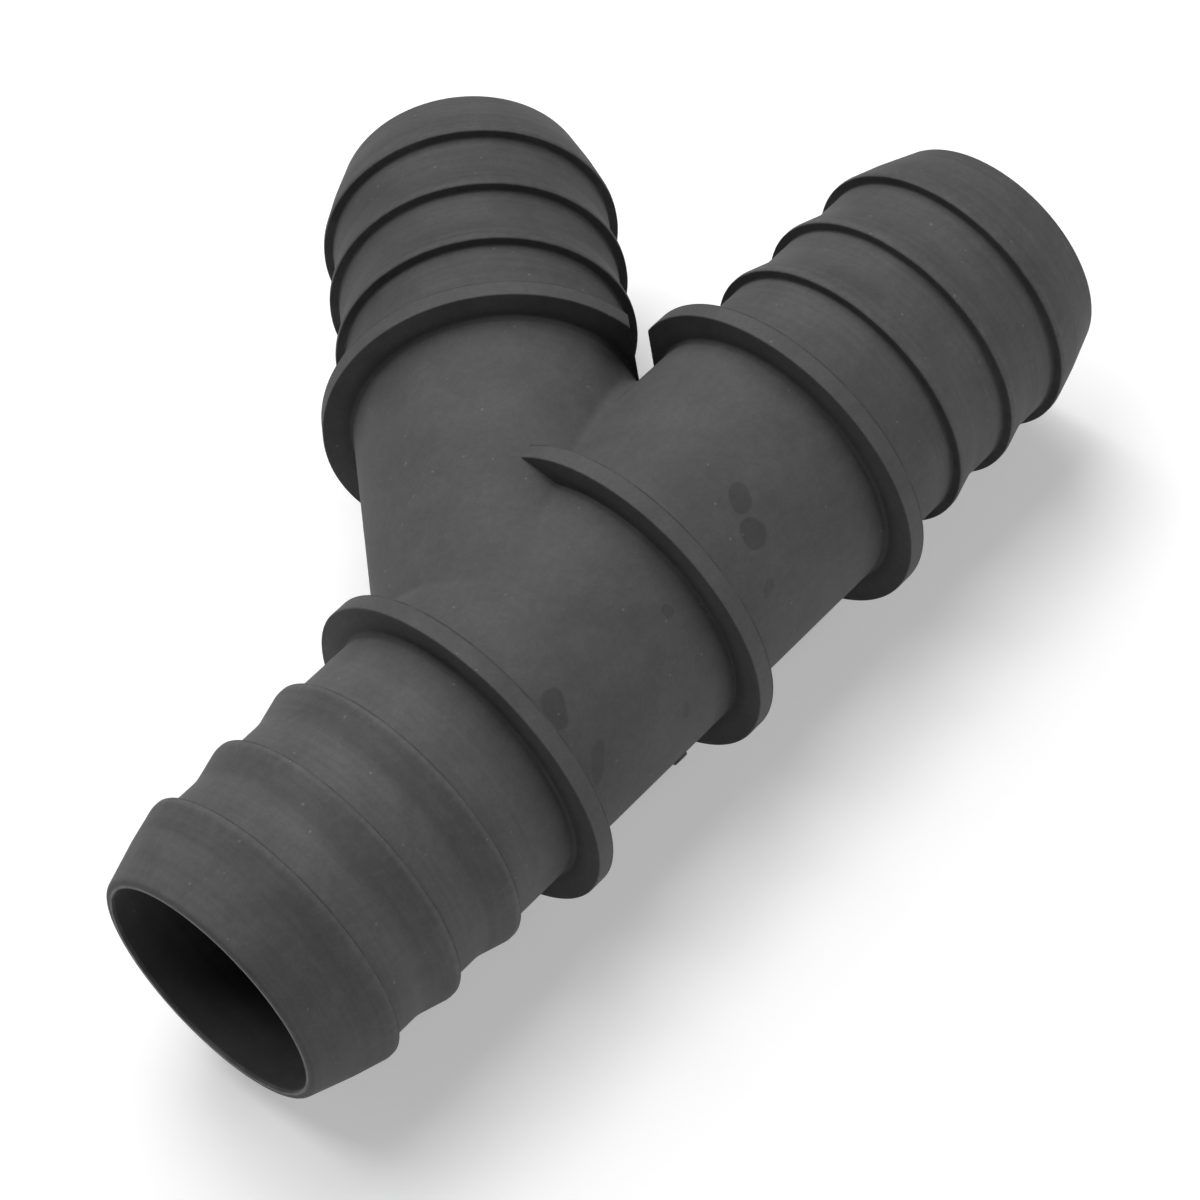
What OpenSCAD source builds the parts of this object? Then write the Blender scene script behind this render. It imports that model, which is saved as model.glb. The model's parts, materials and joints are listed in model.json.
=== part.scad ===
// Heater hose Y connector, one moulding of glass-filled nylon.
// A straight run along X carries a branch that leaves it at an angle in the XY plane.
// All three ends are barbed hose spigots behind a collar that the hose stops at.
// Origin: where the run's axis and the branch's axis cross. +Z is up as it lies on its collars.

/* [Tubes] */
// Outside diameter of the run and the branch between the barbs, the nominal hose bore
tube_od = 25; // [22:0.5:32]
// Thickness of the tubes' walls
wall = 2.1; // [1.5:0.1:4]
// Angle between the outlet and the branch
branch_angle = 49; // [45:1:75]
// Radius of the fillet along the seams between the run and the branch
seam_r = 1.2; // [0.5:0.1:2]

/* [Spigots] */
// Number of barbs on each spigot
barb_count = 3; // [2:1:4]
// From a collar's outer face to the first barb
first_barb = 7.1; // [4:0.1:10]
// From one barb to the next
barb_pitch = 6.9; // [5:0.1:9]
// How far a barb stands out from the tube
barb_h = 0.8; // [0.4:0.1:1.4]
// Width of the round land on top of a barb
barb_land = 0.5; // [0.3:0.1:0.8]
// Length of the slope that leads the hose up a barb
barb_slope = 2.8; // [2:0.1:4]
// Length of the tapered nose beyond the last barb's slope
nose_len = 4; // [2.5:0.1:8]
// Thickness of the wall at the mouth, where the nose ends
lip_wall = 0.75; // [0.6:0.05:1.5]
// Radius of the rounded lip round the mouth
lip_r = 0.3; // [0.1:0.05:0.55]

/* [Collars] */
// How far the three collars stand out from the tube
collar_h = 2.6; // [1.5:0.1:5]
// Thickness of a collar
collar_t = 1.7; // [1:0.1:3]
// From the crotch to the inner faces of the outlet's and the branch's collars
crotch_gap = 2.1; // [1:0.1:6]
// From the branch's heel to the inner face of the inlet's collar
heel_gap = 1.9; // [1:0.1:6]
// How far the flats beside the crotch stand out from the tube
flat_proud = 0.1; // [0.1:0.1:1]
// Radius of the rounded rims
rim_r = 0.2; // [0.1:0.05:0.45]
// Radius of the fillet where a collar or the rib meets the tube
root_r = 0.4; // [0.1:0.05:0.8]

/* [Rib] */
// How far the stiffening rib stands out from the run
rib_h = 2.6; // [1.3:0.1:5]
// Thickness of the rib
rib_t = 1.7; // [1:0.1:3]
// From the crossing of the axes to the rib's near face
rib_place = 10.2; // [8:0.1:14]

/* [Gate mark] */
// Diameter of the stub left by the moulding gate
gate_d = 1.8; // [1:0.1:3]
// How far the stub stands out from the tube
gate_h = 0.3; // [0.2:0.1:1]
// From the crossing of the axes to the stub
gate_place = 4.5; // [3:0.1:7.5]
// How far round the tube the stub is below the plane of the axes
gate_turn = 32; // [0:1:60]

/* [Hidden] */

$fn = 128;
tube_r = tube_od / 2;
bore_r = tube_r - wall;
barb_r = tube_r + barb_h;
collar_r = tube_r + collar_h;
rib_r = tube_r + rib_h;
nose_r = bore_r + lip_wall;
nose_angle = atan((tube_r - nose_r) / nose_len);
arc_steps = 6;
clear = 1;

// Where the tubes' walls meet on the narrow side and on the wide side of the branch
crotch = tube_r / tan(branch_angle / 2);
heel = tube_r * tan(branch_angle / 2);
outlet_reach = crotch + crotch_gap;
inlet_reach = heel + heel_gap;
barb_len = barb_land + barb_slope;
spigot_len = first_barb + (barb_count - 1) * barb_pitch + barb_len + nose_len;
outlet_len = outlet_reach + collar_t + spigot_len;
inlet_len = inlet_reach + collar_t + spigot_len;

// How far along a seam its fillet runs, and in how many steps
seam_end = 72;
seam_steps = 16;
seam_sink = 0.1;

// Points of a round corner about c, from angle a to angle b
function arc(c, r, a, b) =
    [for (i = [0:arc_steps]) let (t = a + (b - a) * i / arc_steps) c + r * [cos(t), sin(t)]];

// Outline of a ring that stands on the tube from a to b, filleted at its roots and round at its rim
function ring(outer, a, b) = concat(
    arc([tube_r + root_r, a - root_r], root_r, 180, 90),
    arc([outer - rim_r, a + rim_r], rim_r, -90, 0),
    arc([outer - rim_r, b - rim_r], rim_r, 0, 90),
    arc([tube_r + root_r, b + root_r], root_r, 270, 180)
);

// Outline of one barb with its steep side at a
function barb(a) = [
    [tube_r, a],
    [barb_r, a],
    [barb_r, a + barb_land],
    [tube_r, a + barb_len]
];

// Outline of the last barb and the tapered nose, with the outer side of the lip
function nose(a) = concat(
    barb(a),
    arc([nose_r - lip_r, a + barb_len + nose_len - lip_r], lip_r, nose_angle, 90)
);

// Outline of the barbs and the nose of a spigot that starts at a collar's outer face
function spigot(face) = concat(
    [for (i = [0:barb_count - 2]) each barb(face + first_barb + i * barb_pitch)],
    nose(face + first_barb + (barb_count - 1) * barb_pitch)
);

function mirrored(points) = [for (i = [len(points) - 1:-1:0]) [points[i][0], -points[i][1]]];

function outlet_side() = concat(
    ring(collar_r, outlet_reach, outlet_reach + collar_t),
    spigot(outlet_reach + collar_t),
    [[0, outlet_len]]
);

function inlet_side() = concat(
    ring(collar_r, inlet_reach, inlet_reach + collar_t),
    spigot(inlet_reach + collar_t),
    [[0, inlet_len]]
);

function unit(v) = v / norm(v);
function in_plan(a) = [cos(a), sin(a), 0];

// Section of the fillet between tubes that leave the origin at angles a and b in plan.
// A ball that touches both tubes rolls along the seam; up is its place, 0 level with the axes and 90 on top.
function seam_section(a, b, up) =
    let (half = (b - a) / 2,
         reach = tube_r + seam_r,
         out = reach * cos(up) / sin(half),
         ball = out * in_plan((a + b) / 2) + [0, 0, reach * sin(up)],
         to_a = unit(out * cos(half) * in_plan(a) - ball),
         to_b = unit(out * cos(half) * in_plan(b) - ball),
         turn = acos(to_a * to_b),
         deep = seam_r / cos(turn / 2) + seam_r)
    concat(
        [ball + (seam_r + seam_sink) * to_a],
        [for (i = [1:arc_steps - 1]) let (t = i / arc_steps)
            ball + seam_r * (sin((1 - t) * turn) * to_a + sin(t * turn) * to_b) / sin(turn)],
        [ball + (seam_r + seam_sink) * to_b],
        [ball + deep * unit(to_a + to_b)]
    );

// The fillet along the seam between tubes that leave the origin at angles a and b in plan
module seam_fillet(a, b) {
    n = arc_steps + 2;
    points = [for (k = [0:seam_steps]) each seam_section(a, b, seam_end * (2 * k / seam_steps - 1))];
    sides = [for (k = [0:seam_steps - 1], i = [0:n - 1])
        let (p = k * n + i, q = k * n + (i + 1) % n)
        each [[p, q + n, q], [p, p + n, q + n]]];
    ends = [[for (i = [0:n - 1]) i], [for (i = [n - 1:-1:0]) seam_steps * n + i]];
    polyhedron(points, concat(sides, ends));
}

// Turns Z into the outlet's direction
module along_run() {
    rotate([0, 90, 0]) children();
}

// Turns Z into the branch's direction
module along_branch() {
    rotate([0, 0, branch_angle]) along_run() children();
}

// What the collars beside the crotch lose so that they clear each other
module crotch_flat(side) {
    translate([outlet_reach - root_r - clear / 2, side * (tube_r + flat_proud), -collar_r - clear])
        mirror([0, side > 0 ? 0 : 1, 0])
            cube([collar_t + 2 * root_r + clear, collar_r, 2 * (collar_r + clear)]);
}

// The straight run with the rib and both its spigots, solid
module run() {
    difference() {
        along_run() rotate_extrude() polygon(concat(
            mirrored(inlet_side()),
            ring(rib_r, rib_place, rib_place + rib_t),
            outlet_side()
        ));
        crotch_flat(1);
    }
}

// The branch with its spigot, solid
module branch() {
    rotate([0, 0, branch_angle]) difference() {
        along_run() rotate_extrude() polygon(concat([[0, 0], [tube_r, 0]], outlet_side()));
        crotch_flat(-1);
    }
}

// The stub of the moulding gate, low on the side away from the branch
module gate_mark() {
    rotate([gate_turn, 0, 0]) translate([gate_place, -tube_r - gate_h, 0]) rotate([-90, 0, 0])
        cylinder(d = gate_d, h = gate_h + clear);
}

// The run's passage right through, and the branch's passage into it
module passages() {
    translate([-inlet_len - clear, 0, 0]) along_run() cylinder(r = bore_r, h = inlet_len + outlet_len + 2 * clear);
    along_branch() cylinder(r = bore_r, h = outlet_len + clear);
}

module connector() {
    color([0.33, 0.33, 0.34]) difference() {
        union() {
            run();
            branch();
            gate_mark();
            seam_fillet(0, branch_angle);
            seam_fillet(branch_angle, 180);
        }
        passages();
    }
}

connector();
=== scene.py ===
"""Looks of the heater hose Y connector: a dull, dark grey moulding of glass-filled nylon on a pale floor."""
import json
import math

import bmesh
import bpy
from mathutils import Matrix, Vector

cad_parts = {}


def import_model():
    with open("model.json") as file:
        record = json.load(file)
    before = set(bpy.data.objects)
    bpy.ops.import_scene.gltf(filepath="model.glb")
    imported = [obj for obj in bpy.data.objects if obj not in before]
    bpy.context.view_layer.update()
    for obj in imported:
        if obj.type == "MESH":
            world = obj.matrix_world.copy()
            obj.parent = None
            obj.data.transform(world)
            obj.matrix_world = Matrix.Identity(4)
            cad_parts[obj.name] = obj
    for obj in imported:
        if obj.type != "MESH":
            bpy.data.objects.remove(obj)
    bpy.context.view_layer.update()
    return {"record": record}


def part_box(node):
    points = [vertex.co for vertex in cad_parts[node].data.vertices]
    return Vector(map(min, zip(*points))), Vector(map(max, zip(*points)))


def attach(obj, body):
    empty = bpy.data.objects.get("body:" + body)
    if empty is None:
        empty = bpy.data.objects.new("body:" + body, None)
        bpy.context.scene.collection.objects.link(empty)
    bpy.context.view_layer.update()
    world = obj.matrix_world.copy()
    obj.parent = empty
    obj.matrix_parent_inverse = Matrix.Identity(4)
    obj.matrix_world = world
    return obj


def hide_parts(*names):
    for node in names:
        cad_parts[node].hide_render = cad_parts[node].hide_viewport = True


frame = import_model()

MM = 0.001

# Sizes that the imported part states
MOUNTS = {mount["name"]: mount for mount in frame["record"]["mounts"]}
LOW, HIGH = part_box("connector")
BORE_R = MOUNTS["run_passage"]["dims"]["r_mm"] * MM
BARB_R = MOUNTS["branch_spigot"]["dims"]["r_mm"] * MM
BARB_LAND = MOUNTS["branch_spigot"]["dims"]["length_mm"] * MM
BRANCH_DIR = Vector(MOUNTS["branch_spigot"]["axis"]).normalized()
BRANCH_ANGLE = math.atan2(BRANCH_DIR.y, BRANCH_DIR.x)
INLET_LEN = -LOW.x
OUTLET_LEN = HIGH.x
COLLAR_R = HIGH.z
FLOOR_Z = LOW.z

# Barbed spigots
BARB_H = 0.8 * MM
BARB_COUNT = 3
BARB_PITCH = 6.9 * MM
BARB_SLOPE = 2.8 * MM
FIRST_BARB = 7.1 * MM
NOSE_LEN = 4 * MM
LIP_WALL = 0.72 * MM

TUBE_R = BARB_R - BARB_H
NOSE_R = BORE_R + LIP_WALL
BARB_LEN = BARB_LAND + BARB_SLOPE
SPIGOT_LEN = FIRST_BARB + (BARB_COUNT - 1) * BARB_PITCH + BARB_LEN + NOSE_LEN

# How far the branch goes past the crossing of the axes before its mitre is cut
BRANCH_SPARE = 2 * MM

# Collars, with the flats beside the crotch, and the stiffening rib with its foot in the tube's wall
COLLAR_T = 1.7 * MM
FLAT_PROUD = 0.1 * MM
RIB_R = COLLAR_R
RIB_T = 1.7 * MM
RIB_PLACE = 10.2 * MM
RIB_FOOT = 0.6 * MM
RIB_SUNK = 0.03 * MM

# Stub of the moulding gate, with its foot in the tube's wall
GATE_R = 0.9 * MM
GATE_TAPER = 0.8
GATE_H = 0.2 * MM
GATE_FOOT = 1 * MM
GATE_EDGE = 0.15 * MM
GATE_STEPS = 24
GATE_PLACE = 4.5 * MM
GATE_TURN = math.radians(32)

# Radii of the soft edges and bends
RIM_EDGE = 0.12 * MM
ROOT_EDGE = 0.32 * MM
BARB_EDGE = 0.1 * MM
BARB_ROOT = 0.15 * MM
LAND_END = 1 * MM
SLOPE_END = 4 * MM
NOSE_BEND = 8 * MM
LIP_OUTER = 0.57 * MM
LIP_INNER = 0.25 * MM

# Fillet along the seams between the run and the branch: its radius, where its skin is cut on each side as
# shares of that radius, and how far out from the axes the seams go
SEAM_R = 1.2 * MM
SEAM_STEPS = (0.9, 0.75, 0.6, 0.45, 0.3, 0.15)
SEAM_FAR = 36 * MM

# Fineness of the mesh, distances within which points are taken as one, and the angle from which an edge is
# sharp
STEPS_ROUND = 144
ARC_STEPS = 5
TOUCH = 0.001 * MM
SEAM_TOUCH = 0.01 * MM
SHARP_ANGLE = math.radians(32)

# The nylon's grey, its sheen and the grain that the mould gave it, with the shares of two noises in the grain
BASE_GREY = 0.078
SHEEN = 0.4
ROUGHNESS = (0.72, 0.80)
GRAIN_STRENGTH = 0.6
GRAIN_DEPTH = 0.02 * MM
GRAIN_SHARES = {"grain": 0.6, "mottle": 1.2}

# Noises in the grey: lumps to the millimetre, detail, roughness, and how far each one takes the grey
NOISES = {
    "clouds": (0.16, 3.0, 0.5, 0.08),
    "mottle": (0.45, 4.0, 0.5, 0.07),
    "fleck": (1.3, 3.0, 0.5, 0.045),
    "grain": (3.5, 3.0, 0.6, 0.055),
}
NOISE_LEVELS = (0.3, 0.7)

# The three legs: turn of the leg from the run, its length, how much paler painted light makes its spigot and
# its nose, and how much darker painted shade makes the slopes and the lines along the barbs' sharp edges
LEGS = (
    (0, OUTLET_LEN, 0.0, -0.1, 0.09, 0.3),
    (math.pi, INLET_LEN, 0.17, 0.04, 0.15, 0.6),
    (BRANCH_ANGLE, OUTLET_LEN, -0.17, -0.08, 0.09, 0.3),
)

# Collars and rib: turn of the leg that the ring stands on, how far along it the ring's middle is, and on
# which side of the ring its rim has the dark edge of painted shade
RINGS = (
    (0, OUTLET_LEN - SPIGOT_LEN - COLLAR_T / 2, 1),
    (math.pi, INLET_LEN - SPIGOT_LEN - COLLAR_T / 2, -1),
    (BRANCH_ANGLE, OUTLET_LEN - SPIGOT_LEN - COLLAR_T / 2, 1),
    (0, RIB_PLACE + RIB_T / 2, 1),
)

# Shares by which marks darken or pale the grey; the last three are painted shade
FLOW_MARKS = 0.05
CREST_WEAR = 0.08
MOUTH_EDGE_PALE = 1.7
BORE_SHADE = 0.25
CORNER_SHADE = 0.3
RIM_SHADE = 0.45

# Flow marks: lumps to the millimetre along the leg, the share of that round it, and the noise's levels
FLOW_PER_MM = 2.2
FLOW_STRETCH = 0.03
FLOW_LEVELS = (0.35, 0.65)

# Painted shade lines along the barbs' sharp edges, and crests: how far they reach, the noises' levels that
# break them up, and how much is left of a line at the least
LINE_REACH = (0.1 * MM, 0.2 * MM)
LINE_DEPTH = 0.3 * MM
LINE_LEVELS = (0.35, 0.6)
LINE_LEAST = 0.55
CREST_DEPTH = 0.35 * MM
CREST_LEVELS = (0.4, 0.65)

# Pale edge of a mouth: how far it reaches back from the end and out from the bore, and the noise's levels
EDGE_BACK = (0.2 * MM, 0.4 * MM)
EDGE_OUT = (0.15 * MM, 0.35 * MM)
EDGE_LEVELS = (0.3, 0.6)

# Painted shade in the bore: its skin, and how far behind the mouth it begins to fade and ends
INSIDE_SKIN = (0.02 * MM, 0.1 * MM)
INSIDE_REACH = (3 * MM, 14 * MM)

# Painted shade in the corners under the collars and the rib: how high over the tube it starts, is whole,
# begins to fade and ends
CORNER_HEIGHTS = (-0.1 * MM, 0.06 * MM, 0.2 * MM, 1.4 * MM)

# Painted shade along the far edge of a rim: where it starts, is whole, begins to fade and ends, measured from
# the edge, the noise's levels that break it up, and how much is left of it at the least
RIM_BAND = (-0.26 * MM, -0.14 * MM, 0.03 * MM, 0.1 * MM)
RIM_LEVELS = (0.35, 0.55)
RIM_LEAST = 0.4

# Damp-looking blots on the run: millimetres along it, degrees round from the top towards the side away from
# the branch, half length and half width in millimetres, degrees of lean from the run's axis, and how dark
BLOTS = (
    (18.6, 35.3, 1.40, 1.08, 60, 0.28),
    (17.4, 48.4, 1.36, 1.22, 73, 0.32),
    (-5.6, 45.1, 1.78, 1.25, 67, 0.30),
    (7.2, 47.9, 0.56, 0.50, 48, 0.24),
    (16.1, 69.2, 0.90, 0.50, 43, 0.18),
    (-5.0, 73.2, 1.95, 0.70, 57, 0.20),
    (4.6, 85.6, 0.95, 0.45, 68, 0.14),
)

# How far a blot reaches into the wall, in millimetres, where its rim fades, as shares of its size, and the
# waves in its outline: lumps to the millimetre and how far they go
BLOT_DEPTH = 3
BLOT_RIM = (0.86, 1.06)
BLOT_WAVES_PER_MM = 0.5
BLOT_WAVES = 0.4 * MM

# Pale dust: cells to the millimetre, the chances between which a cell's speck grows, radius of the smallest
# and of the largest speck as shares of a cell, the share of a speck that is palest, and how pale
DUST_PER_MM = 0.9
DUST_CHANCE = (0.55, 1.0)
DUST_SIZE = (0.01, 0.17)
DUST_CORE = 0.4
DUST_PALE = 0.7

# Floor: its radius, its grey for the light that it gives back, and its grey and glow where the camera looks
FLOOR_R = 1.5
FLOOR_STEPS = 96
FLOOR_ROUGHNESS = 0.9
FLOOR_GREY = 0.85
FLOOR_SEEN = 0.8
FLOOR_GLOW = 0.33

# Light from all round, and how bright the space past the floor is where the camera looks
ROOM_LIGHT = 0.06
ROOM_SEEN = 1.0

# Soft boxes: azimuth and height in degrees, width in metres and power in watts
SOFT_BOXES = {
    "box_behind": (55, 50, 0.6, 3.9),
    "box_above": (100, 74, 0.6, 4.5),
    "box_low": (300, 20, 0.6, 2.6),
    "box_left": (128, 20, 0.5, 0.6),
}
BOX_DISTANCE = 0.9
BOX_AIM = Vector((0.01, 0, 0))

# The photograph's view of the part
VIEW_AZIMUTH = math.radians(50.48)
VIEW_DOWN = math.radians(49.05)
VIEW_ROLL = math.radians(11.28)
VIEW_AIM = Vector((7.57, -0.85, 3.61)) * MM
VIEW_DISTANCE = 296.4 * MM
VIEW_LENS = 110.0
VIEW_SENSOR = 36.0
VIEW_NEAR = 10 * MM


def rounded(corners):
    """Points (along, radius) of an outline whose corners (along, radius, edge) are rounded to their edge."""
    points = []
    last = len(corners) - 1
    for i, (along, radius, edge) in enumerate(corners):
        here = Vector((along, radius))
        if edge == 0 or i in (0, last):
            points.append(here)
            continue
        back = Vector(corners[i - 1][:2]) - here
        ahead = Vector(corners[i + 1][:2]) - here
        turn = math.pi - back.angle(ahead)
        reach = min(edge * math.tan(turn / 2), 0.48 * back.length, 0.48 * ahead.length)
        start = here + back.normalized() * reach
        middle = (back.normalized() + ahead.normalized()).normalized()
        centre = here + middle * (reach / math.cos(middle.angle(back)))
        sweep = math.copysign(turn, ahead.cross(back))
        for k in range(ARC_STEPS + 1):
            points.append(centre + Matrix.Rotation(sweep * k / ARC_STEPS, 2) @ (start - centre))
    return points


def collar_outline(near):
    """Outline of a collar that stands on the tube from near outwards."""
    far = near + COLLAR_T
    return [
        (near, TUBE_R, ROOT_EDGE), (near, COLLAR_R, RIM_EDGE),
        (far, COLLAR_R, RIM_EDGE), (far, TUBE_R, ROOT_EDGE)]


def spigot_outline(end):
    """Barbs, nose and mouth of a spigot that ends at end, from the collar outwards and back into the bore."""
    face = end - SPIGOT_LEN
    outline = []
    for i in range(BARB_COUNT):
        at = face + FIRST_BARB + i * BARB_PITCH
        bend = SLOPE_END if i < BARB_COUNT - 1 else NOSE_BEND
        outline += [
            (at, TUBE_R, BARB_ROOT), (at, BARB_R, BARB_EDGE), (at + BARB_LAND, BARB_R, LAND_END),
            (at + BARB_LEN, TUBE_R, bend)]
    outline += [(end, NOSE_R, LIP_OUTER), (end, BORE_R, LIP_INNER)]
    return outline


def leg_outline(end):
    """One leg of the connector from its collar to its mouth."""
    return collar_outline(end - SPIGOT_LEN - COLLAR_T) + spigot_outline(end)


def spun(points, closed):
    """A mesh of the outline spun round X, beginning straight up."""
    bm = bmesh.new()
    verts = [bm.verts.new((p.x, 0, p.y)) for p in points]
    edges = [bm.edges.new(pair) for pair in zip(verts, verts[1:])]
    if closed:
        edges.append(bm.edges.new((verts[-1], verts[0])))
    bmesh.ops.spin(
        bm, geom=verts + edges, cent=(0, 0, 0), axis=(1, 0, 0), angle=2 * math.pi,
        steps=STEPS_ROUND, use_merge=True, use_duplicate=False)
    bmesh.ops.remove_doubles(bm, verts=bm.verts, dist=TOUCH)
    return bm


def trim_collar(bm, end, side):
    """Cuts the collar of the leg that ends at end flat on one side, a little proud of its tube."""
    near = end - SPIGOT_LEN - COLLAR_T - 2 * ROOT_EDGE
    far = end - SPIGOT_LEN + 2 * ROOT_EDGE
    flat = TUBE_R + FLAT_PROUD
    collar = [f for f in bm.faces if near < f.calc_center_median().x < far]
    cut(bm, (0, side, 0), collar, place=(0, side * flat, 0), drop_front=True)
    rim = [e for e in bm.edges if e.is_boundary and all(abs(v.co.y - side * flat) < TOUCH for v in e.verts)]
    bmesh.ops.edgenet_fill(bm, edges=rim)


def seam_planes():
    """Normals, towards the branch, of the planes where it meets the outlet's and the inlet's side."""
    half = BRANCH_ANGLE / 2
    return Vector((-math.sin(half), math.cos(half), 0)), Vector((math.cos(half), math.sin(half), 0))


def cut(bm, normal, faces, place=(0, 0, 0), drop_front=False, drop_back=False):
    """Cuts the faces at the plane through place, and drops what is in front of it or behind it if asked."""
    faces = list(faces)
    geom = faces + list({e for f in faces for e in f.edges}) + list({v for f in faces for v in f.verts})
    bmesh.ops.bisect_plane(
        bm, geom=geom, dist=0.1 * TOUCH, plane_co=place, plane_no=normal,
        clear_inner=drop_back, clear_outer=drop_front)


def run_mesh():
    """The straight run with both its spigots, open where the branch joins it."""
    inlet = [(-along, radius, edge) for along, radius, edge in reversed(leg_outline(INLET_LEN))]
    bm = spun(rounded([*inlet, *leg_outline(OUTLET_LEN)]), closed=True)
    trim_collar(bm, OUTLET_LEN, 1)
    for normal in seam_planes():
        cut(bm, normal, [f for f in bm.faces if f.calc_center_median().y > 0])
    crotch_side, heel_side = seam_planes()
    inside = [f for f in bm.faces
              if f.calc_center_median().dot(crotch_side) > 0 and f.calc_center_median().dot(heel_side) > 0]
    bmesh.ops.delete(bm, geom=inside, context="FACES")
    return bm


def branch_mesh():
    """The branch with its spigot, mitred where it joins the run."""
    start = -BRANCH_SPARE
    outline = [(start, TUBE_R, 0), *leg_outline(OUTLET_LEN), (start, BORE_R, 0)]
    bm = spun(rounded(outline), closed=False)
    trim_collar(bm, OUTLET_LEN, -1)
    bmesh.ops.rotate(bm, verts=bm.verts, cent=(0, 0, 0), matrix=Matrix.Rotation(BRANCH_ANGLE, 3, "Z"))
    for normal in seam_planes():
        cut(bm, normal, bm.faces, drop_back=True)
    return bm


def add_mesh(bm, other):
    """Adds the other mesh to bm."""
    holder = bpy.data.meshes.new("holder")
    other.to_mesh(holder)
    other.free()
    bm.from_mesh(holder)
    bpy.data.meshes.remove(holder)


def tube_radius(co):
    """Distance of a point from the axis of the run or of the branch, whichever it belongs to."""
    along = co.dot(BRANCH_DIR)
    on_branch = co.dot(seam_planes()[0]) > 0 and co.dot(seam_planes()[1]) > 0
    return (co - BRANCH_DIR * along).length if on_branch else math.hypot(co.y, co.z)


def rolling_ball(out, up, half):
    """Where a ball that rolls along a seam has the point (out, up) of the seam's plane straight below it.

    The answer is its turn round the seam, 0 level with the axes and a right angle on top."""
    low, high = 0.0, math.pi / 2
    spread = (TUBE_R + SEAM_R) * (1 / math.sin(half) - math.sin(half))
    for _ in range(40):
        turn = (low + high) / 2
        beyond = out * math.sin(turn) - abs(up) * math.cos(turn) * math.sin(half)
        if beyond > spread * math.sin(turn) * math.cos(turn):
            high = turn
        else:
            low = turn
    return math.copysign(low, up)


def fill_seam(bm, normal, outwards, half):
    """Lifts the skin on both sides of a seam on to the fillet that a rolling ball leaves."""
    for share in SEAM_STEPS:
        for side in (-1, 1):
            near = [f for f in bm.faces if any(on_seam(v.co, normal, outwards) for v in f.verts)]
            cut(bm, normal, near, place=normal * side * share * SEAM_R)
    for v in bm.verts:
        if not on_seam(v.co, normal, outwards):
            continue
        aside = v.co.dot(normal)
        out = v.co.dot(outwards)
        turn = rolling_ball(out, v.co.z, half)
        reach = TUBE_R + SEAM_R
        ball = Vector((reach * math.cos(turn) / math.sin(half), reach * math.sin(turn)))
        down = -Vector((math.cos(turn) * math.sin(half), math.sin(turn))).normalized()
        touching = SEAM_R * math.cos(turn) * math.cos(half)
        if abs(aside) >= touching:
            continue
        depth = (Vector((out, v.co.z)) - ball).dot(down)
        fillet = math.sqrt(SEAM_R**2 - aside**2)
        if depth > fillet:
            lifted = ball + down * fillet
            v.co = normal * aside + outwards * lifted.x + Vector((0, 0, lifted.y))


def on_seam(co, normal, outwards):
    """Whether a point is on the outer skin and near enough to a seam for its fillet."""
    near = abs(co.dot(normal)) < SEAM_R and 0 < co.dot(outwards) < SEAM_FAR
    return near and tube_radius(co) > TUBE_R - TOUCH


def rib_mesh():
    """The stiffening rib, a ring whose foot is sunk in the tube's wall."""
    near, far = RIB_PLACE, RIB_PLACE + RIB_T
    foot = TUBE_R - RIB_FOOT
    sunk = TUBE_R - RIB_SUNK
    outline = [
        (near, foot, 0), (near - ROOT_EDGE, foot, 0), (near - ROOT_EDGE, sunk, 0), (near, sunk, ROOT_EDGE),
        (near, RIB_R, RIM_EDGE), (far, RIB_R, RIM_EDGE), (far, sunk, ROOT_EDGE), (far + ROOT_EDGE, sunk, 0),
        (far + ROOT_EDGE, foot, 0)]
    return spun(rounded(outline), closed=True)


def gate_mesh():
    """The stub of the moulding gate, with its foot in the tube's wall."""
    bm = bmesh.new()
    bmesh.ops.create_cone(
        bm, cap_ends=True, segments=GATE_STEPS, radius1=GATE_R, radius2=GATE_R * GATE_TAPER,
        depth=GATE_H + GATE_FOOT)
    top = [e for e in bm.edges if all(v.co.z > 0 for v in e.verts)]
    bmesh.ops.bevel(bm, geom=top, offset=GATE_EDGE, segments=3, profile=0.5, affect="EDGES", material=-1)
    turn = Matrix.Rotation(math.pi / 2 + GATE_TURN, 4, "X")
    bmesh.ops.translate(bm, verts=bm.verts, vec=(0, 0, TUBE_R + (GATE_H - GATE_FOOT) / 2))
    bmesh.ops.transform(bm, matrix=Matrix.Translation((GATE_PLACE, 0, 0)) @ turn, verts=bm.verts)
    return bm


def as_object(bm, name):
    """Turns a closed mesh into an object with its faces outwards."""
    bmesh.ops.recalc_face_normals(bm, faces=bm.faces)
    mesh = bpy.data.meshes.new(name)
    bm.to_mesh(mesh)
    bm.free()
    obj = bpy.data.objects.new(name, mesh)
    bpy.context.scene.collection.objects.link(obj)
    return obj


def join_solid(body, *additions):
    """Joins closed pieces to the body as one skin."""
    for piece in additions:
        join = body.modifiers.new("join", "BOOLEAN")
        join.operation = "UNION"
        join.solver = "MANIFOLD"
        join.object = piece
    bpy.context.view_layer.update()
    whole = bpy.data.meshes.new_from_object(body.evaluated_get(bpy.context.evaluated_depsgraph_get()))
    body.modifiers.clear()
    body.data = whole
    for piece in additions:
        bpy.data.objects.remove(piece)


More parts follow.
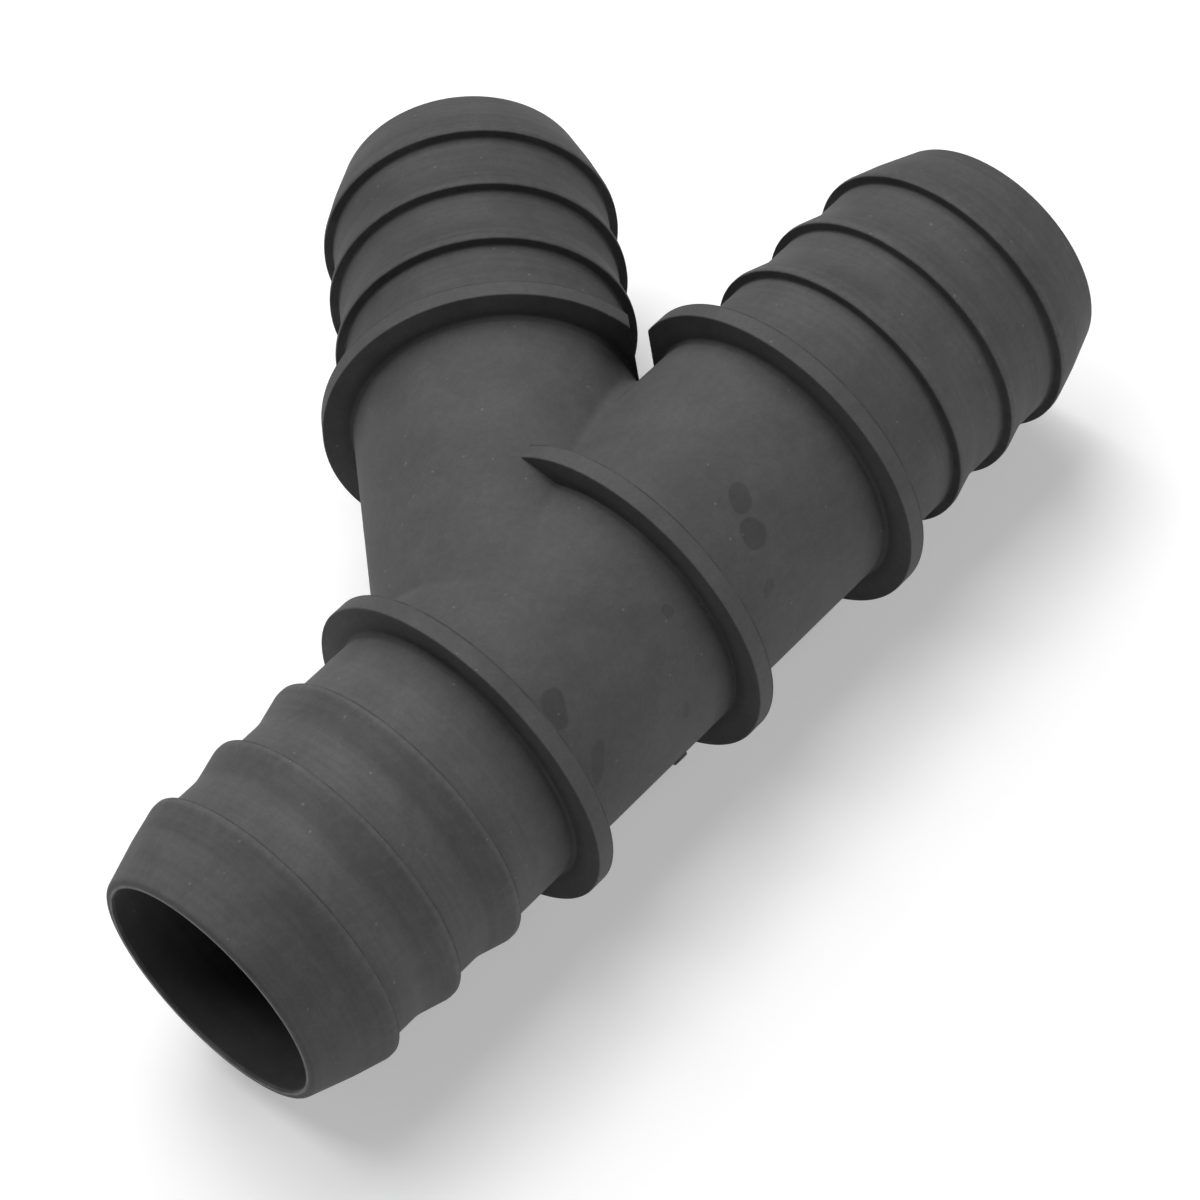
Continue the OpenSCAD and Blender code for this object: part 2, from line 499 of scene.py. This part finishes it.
def connector_piece():
    """The whole moulding as one closed skin."""
    bm = run_mesh()
    add_mesh(bm, branch_mesh())
    bmesh.ops.remove_doubles(bm, verts=bm.verts, dist=SEAM_TOUCH)
    crotch_side, heel_side = seam_planes()
    fill_seam(bm, crotch_side, heel_side, BRANCH_ANGLE / 2)
    fill_seam(bm, heel_side, crotch_side, (math.pi - BRANCH_ANGLE) / 2)
    body = as_object(bm, "moulded_connector")
    join_solid(body, as_object(rib_mesh(), "rib"), as_object(gate_mesh(), "gate"))
    body.data.polygons.foreach_set("use_smooth", [True] * len(body.data.polygons))
    body.data.set_sharp_from_angle(angle=SHARP_ANGLE)
    even = body.modifiers.new("even_shading", "WEIGHTED_NORMAL")
    even.keep_sharp = True
    return body


class Shading:
    """Short ways to add and wire up the nodes of one material."""

    def __init__(self, material):
        material.use_nodes = True
        self.tree = material.node_tree
        self.surface = self.tree.nodes["Principled BSDF"].inputs

    def wire(self, value, socket):
        """Puts a value, or another node's output, on a socket."""
        if isinstance(value, bpy.types.NodeSocket):
            self.tree.links.new(value, socket)
        else:
            socket.default_value = value

    def add(self, kind, out, settings, **values):
        """Adds a node and gives the output called out, or all its outputs if out is None."""
        made = self.tree.nodes.new("ShaderNode" + kind)
        for key, value in settings.items():
            setattr(made, key, value)
        for key, value in values.items():
            self.wire(value, made.inputs[int(key[1:]) if key[1:].isdigit() else key.replace("_", " ")])
        return made.outputs[out] if out else made.outputs

    def math(self, operation, *values):
        """A sum, a difference and so on of numbers."""
        numbered = {f"n{i}": value for i, value in enumerate(values)}
        return self.add("Math", "Value", {"operation": operation}, **numbered)

    def product(self, first, *others):
        """All the numbers multiplied."""
        for other in others:
            first = self.math("MULTIPLY", first, other)
        return first

    def darker(self, mask, share):
        """A factor that takes the share away where the mask is 1."""
        return self.math("MULTIPLY_ADD", mask, -share, 1.0)

    def ramp(self, value, low, high, at_low=0.0, at_high=1.0):
        """Goes smoothly from at_low, up to low, to at_high, from high on."""
        return self.add(
            "MapRange", "Result", {"interpolation_type": "SMOOTHSTEP"},
            Value=value, From_Min=low, From_Max=high, To_Min=at_low, To_Max=at_high)

    def noise(self, place, per_mm, detail=2.0, roughness=0.5):
        """Noise with about per_mm lumps to the millimetre."""
        return self.add(
            "TexNoise", "Fac", {}, Vector=place, Scale=per_mm / MM, Detail=detail, Roughness=roughness)

    def band(self, value, start, whole, fade, end):
        """1 from whole to fade, and 0 up to start and from end on."""
        return self.product(self.ramp(value, start, whole), self.ramp(value, fade, end, 1.0, 0.0))

    def spread(self, value, amount):
        """Noise made into a factor round 1."""
        return self.ramp(value, *NOISE_LEVELS, 1 - amount, 1 + amount)

    def scaled(self, place, scale):
        """A place with each of its coordinates multiplied."""
        return self.add("VectorMath", "Vector", {"operation": "MULTIPLY"}, n0=place, n1=scale)

    def length(self, place):
        """How far a place is from the origin."""
        return self.add("VectorMath", "Value", {"operation": "LENGTH"}, n0=place)

    def grey_colour(self, value):
        """A grey as a colour."""
        return self.add("CombineXYZ", "Vector", {}, X=value, Y=value, Z=value)


def leg_place(shade, place, turn):
    """A place as a leg turned from the run has it, how far it is along the leg, and how far from the axis."""
    in_leg = shade.add("Mapping", "Vector", {"vector_type": "POINT"}, Vector=place, Rotation=(0, 0, -turn))
    along = shade.add("SeparateXYZ", "X", {}, Vector=in_leg)
    return in_leg, along, shade.length(shade.scaled(in_leg, (0, 1, 1)))


def spigot_marks(shade, place, noises, turn, length, painted_paleness, nose_painted_paleness, slope_shade, line_shade):
    """Factors for one spigot: its outside with painted light and shade, the pale edge of its mouth, its
    shaded bore.
    """
    in_leg, along, radius = leg_place(shade, place, turn)

    # Weak flow marks round it, and painted light that pales the spigot and its nose by their own shares
    marks = shade.noise(shade.scaled(in_leg, (1, FLOW_STRETCH, FLOW_STRETCH)), FLOW_PER_MM, detail=3.0)
    change = shade.math(
        "ADD", shade.ramp(marks, *FLOW_LEVELS, -FLOW_MARKS, FLOW_MARKS),
        shade.ramp(along, length - NOSE_LEN - BARB_LEN - BARB_PITCH, length - NOSE_LEN / 2, painted_paleness, nose_painted_paleness))

    # Painted shade on the slopes and in a dark line along the sharp edge of each barb, and crests that wear
    # has paled
    first = length - SPIGOT_LEN + FIRST_BARB
    beyond = shade.math("WRAP", shade.math("SUBTRACT", along, first), BARB_PITCH / 2, -BARB_PITCH / 2)
    shaded_slope = shade.band(beyond, 0.7 * BARB_LAND, 1.8 * BARB_LAND, 0.8 * BARB_LEN, BARB_LEN)
    shade_line = shade.product(
        shade.ramp(shade.math("ABSOLUTE", beyond), *LINE_REACH, 1.0, 0.0),
        shade.ramp(radius, TUBE_R - LINE_DEPTH, TUBE_R),
        shade.ramp(noises["mottle"], *LINE_LEVELS, LINE_LEAST, 1.0))
    crest = shade.product(
        shade.ramp(radius, BARB_R - CREST_DEPTH, BARB_R), shade.ramp(noises["fleck"], *CREST_LEVELS))
    for mark, amount in ((shaded_slope, -slope_shade), (shade_line, -line_shade), (crest, CREST_WEAR)):
        change = shade.math("MULTIPLY_ADD", mark, amount, change)
    on_spigot = shade.product(
        shade.ramp(along, length - SPIGOT_LEN, length - 0.8 * SPIGOT_LEN),
        shade.ramp(radius, BARB_R, COLLAR_R, 1.0, 0.0))
    outside = shade.math("MULTIPLY_ADD", change, on_spigot, 1.0)

    # A pale edge round the mouth, and painted shade in the bore behind it
    back = shade.math("SUBTRACT", length, along)
    out = shade.math("SUBTRACT", radius, BORE_R)
    edge = shade.product(
        shade.ramp(back, *EDGE_BACK, 1.0, 0.0), shade.ramp(out, *EDGE_OUT, 1.0, 0.0),
        shade.ramp(noises["mottle"], *EDGE_LEVELS, 0.5 * MOUTH_EDGE_PALE, MOUTH_EDGE_PALE))
    inside = shade.product(
        shade.ramp(back, *INSIDE_REACH, 1.0, 0.0), shade.ramp(out, *INSIDE_SKIN, 1.0, 0.0))
    return [outside, shade.math("ADD", edge, 1.0), shade.darker(inside, BORE_SHADE)]


def ring_marks(shade, place, mottle, turn, middle, away):
    """Factors for one collar or the rib: painted shade in the corners under it and along the far edge of its
    rim.
    """
    _, along, radius = leg_place(shade, place, turn)
    beyond = shade.math("SUBTRACT", along, middle)
    height = shade.math("SUBTRACT", radius, TUBE_R)
    near = COLLAR_T / 2 + ROOT_EDGE
    corner_shade = shade.product(
        shade.band(height, *CORNER_HEIGHTS),
        shade.ramp(shade.math("ABSOLUTE", beyond), near, near + ROOT_EDGE, 1.0, 0.0))
    rim = shade.product(
        shade.band(shade.math("SUBTRACT", radius, COLLAR_R), *RIM_BAND),
        shade.band(shade.math("MULTIPLY_ADD", beyond, away, -COLLAR_T / 2), *RIM_BAND),
        shade.ramp(mottle, *RIM_LEVELS, RIM_LEAST, 1.0))
    return [shade.darker(corner_shade, CORNER_SHADE), shade.darker(rim, RIM_SHADE)]


def blot_frame(along, turn, half_length, half_width, lean):
    """Place and turn of a blot on the run, and its half sizes."""
    turn, lean = math.radians(turn), math.radians(lean)
    outwards = Vector((0, -math.sin(turn), math.cos(turn)))
    round_tube = Vector((0, -math.cos(turn), -math.sin(turn)))
    length = Vector((-math.cos(lean), 0, 0)) + round_tube * math.sin(lean)
    width = outwards.cross(length)
    turned = Matrix((length, width, outwards)).transposed().to_euler()
    centre = outwards * TUBE_R + Vector((along * MM, 0, 0))
    return centre, turned, Vector((half_length, half_width, BLOT_DEPTH)) * MM


def blots(shade, place):
    """A factor for each blot, all with an uneven outline."""
    waves = shade.add("TexNoise", "Color", {}, Vector=place, Scale=BLOT_WAVES_PER_MM / MM, Detail=1.0)
    wavy = shade.add(
        "MixRGB", "Color", {"blend_type": "LINEAR_LIGHT"}, Fac=BLOT_WAVES, Color1=place, Color2=waves)
    factors = []
    for *shape, dark in BLOTS:
        centre, turned, half = blot_frame(*shape)
        local = shade.add(
            "Mapping", "Vector", {"vector_type": "TEXTURE"}, Vector=wavy, Location=centre, Rotation=turned,
            Scale=half)
        factors.append(shade.ramp(shade.length(local), *BLOT_RIM, 1 - dark, 1.0))
    return factors


def dust(shade, place):
    """A factor that is more than 1 on pale specks, in some of the cells of a scatter."""
    cells = shade.add("TexVoronoi", None, {}, Vector=place, Scale=DUST_PER_MM / MM)
    chance = shade.add("SeparateXYZ", "X", {}, Vector=cells["Color"])
    size = shade.ramp(chance, *DUST_CHANCE, *DUST_SIZE)
    speck = shade.ramp(cells["Distance"], shade.product(size, DUST_CORE), size, DUST_PALE, 0.0)
    return shade.math("ADD", speck, 1.0)


def nylon():
    """Dull dark grey nylon with faint flow marks, damp-looking blots, pale dust, and painted light and shade.
    """
    material = bpy.data.materials.new("glass_filled_nylon")
    shade = Shading(material)
    place = shade.add("TexCoord", "Object", {})
    noises = {name: shade.noise(place, *look[:3]) for name, look in NOISES.items()}

    factors = [shade.spread(noises[name], look[3]) for name, look in NOISES.items()]
    for leg in LEGS:
        factors += spigot_marks(shade, place, noises, *leg)
    for ring in RINGS:
        factors += ring_marks(shade, place, noises["mottle"], *ring)
    factors += [*blots(shade, place), dust(shade, place)]
    shade.wire(shade.grey_colour(shade.product(BASE_GREY, *factors)), shade.surface["Base Color"])

    shade.wire(SHEEN, shade.surface["Specular IOR Level"])
    shade.wire(shade.ramp(noises["mottle"], *NOISE_LEVELS, *ROUGHNESS), shade.surface["Roughness"])
    height = shade.math("ADD", *(shade.product(noises[name], share) for name, share in GRAIN_SHARES.items()))
    shade.wire(
        shade.add("Bump", "Normal", {}, Strength=GRAIN_STRENGTH, Distance=GRAIN_DEPTH, Height=height),
        shade.surface["Normal"])
    return material


def floor_material():
    """Pale, and white where the camera looks, so that only the part's shadow shows on it."""
    material = bpy.data.materials.new("pale_floor")
    shade = Shading(material)
    shade.wire(FLOOR_ROUGHNESS, shade.surface["Roughness"])
    shade.wire(0.0, shade.surface["Specular IOR Level"])
    shade.wire((1, 1, 1, 1), shade.surface["Emission Color"])
    path = shade.add("LightPath", None, {})
    seen = shade.math("MAXIMUM", path["Is Camera Ray"], path["Is Glossy Ray"])
    seen = shade.math("MAXIMUM", seen, path["Is Transmission Ray"])
    shade.wire(shade.grey_colour(shade.ramp(seen, 0, 1, FLOOR_GREY, FLOOR_SEEN)), shade.surface["Base Color"])
    shade.wire(shade.product(seen, FLOOR_GLOW), shade.surface["Emission Strength"])
    return material


def floor_piece():
    """A plain round floor under the part."""
    bm = bmesh.new()
    bmesh.ops.create_circle(bm, cap_ends=True, segments=FLOOR_STEPS, radius=FLOOR_R)
    bmesh.ops.translate(bm, verts=bm.verts, vec=(0, 0, FLOOR_Z))
    floor = as_object(bm, "floor")
    floor.data.materials.append(floor_material())
    return floor


def world():
    """Soft light from all round, and white where the camera looks past the floor."""
    made = bpy.data.worlds.new("studio")
    made.use_nodes = True
    tree = made.node_tree
    back = tree.nodes["Background"]
    path = tree.nodes.new("ShaderNodeLightPath")
    mix = tree.nodes.new("ShaderNodeMix")
    mix.inputs["A"].default_value = ROOM_LIGHT
    mix.inputs["B"].default_value = ROOM_SEEN
    tree.links.new(path.outputs["Is Camera Ray"], mix.inputs["Factor"])
    tree.links.new(mix.outputs["Result"], back.inputs["Strength"])
    back.inputs["Color"].default_value = (1, 1, 1, 1)
    bpy.context.scene.world = made


def direction(azimuth, height):
    """The way from the part towards an azimuth and a height."""
    return Vector((
        math.cos(height) * math.cos(azimuth), math.cos(height) * math.sin(azimuth), math.sin(height)))


def soft_box(name, azimuth, height, size, watts):
    """A square soft box that shines on the part from an azimuth and a height, both in degrees."""
    lamp = bpy.data.lights.new(name, "AREA")
    lamp.size = size
    lamp.energy = watts
    obj = bpy.data.objects.new(name, lamp)
    towards = direction(math.radians(azimuth), math.radians(height))
    obj.location = BOX_AIM + towards * BOX_DISTANCE
    obj.rotation_euler = (-towards).to_track_quat("-Z", "Y").to_euler()
    bpy.context.scene.collection.objects.link(obj)


def camera():
    """A long lens that looks down along the run."""
    data = bpy.data.cameras.new("camera")
    data.lens = VIEW_LENS
    data.sensor_width = VIEW_SENSOR
    data.clip_start = VIEW_NEAR
    obj = bpy.data.objects.new("camera", data)
    ahead = direction(VIEW_AZIMUTH, -VIEW_DOWN)
    turn = ahead.to_track_quat("-Z", "Y").to_matrix() @ Matrix.Rotation(-VIEW_ROLL, 3, "Z")
    obj.matrix_world = Matrix.Translation(VIEW_AIM - ahead * VIEW_DISTANCE) @ turn.to_4x4()
    bpy.context.scene.collection.objects.link(obj)
    bpy.context.scene.camera = obj


connector = connector_piece()
connector.data.materials.clear()
connector.data.materials.append(nylon())
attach(connector, "root")
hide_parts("connector")
floor_piece()

world()
for name, settings in SOFT_BOXES.items():
    soft_box(name, *settings)
camera()

bpy.context.scene.view_settings.view_transform = "Standard"
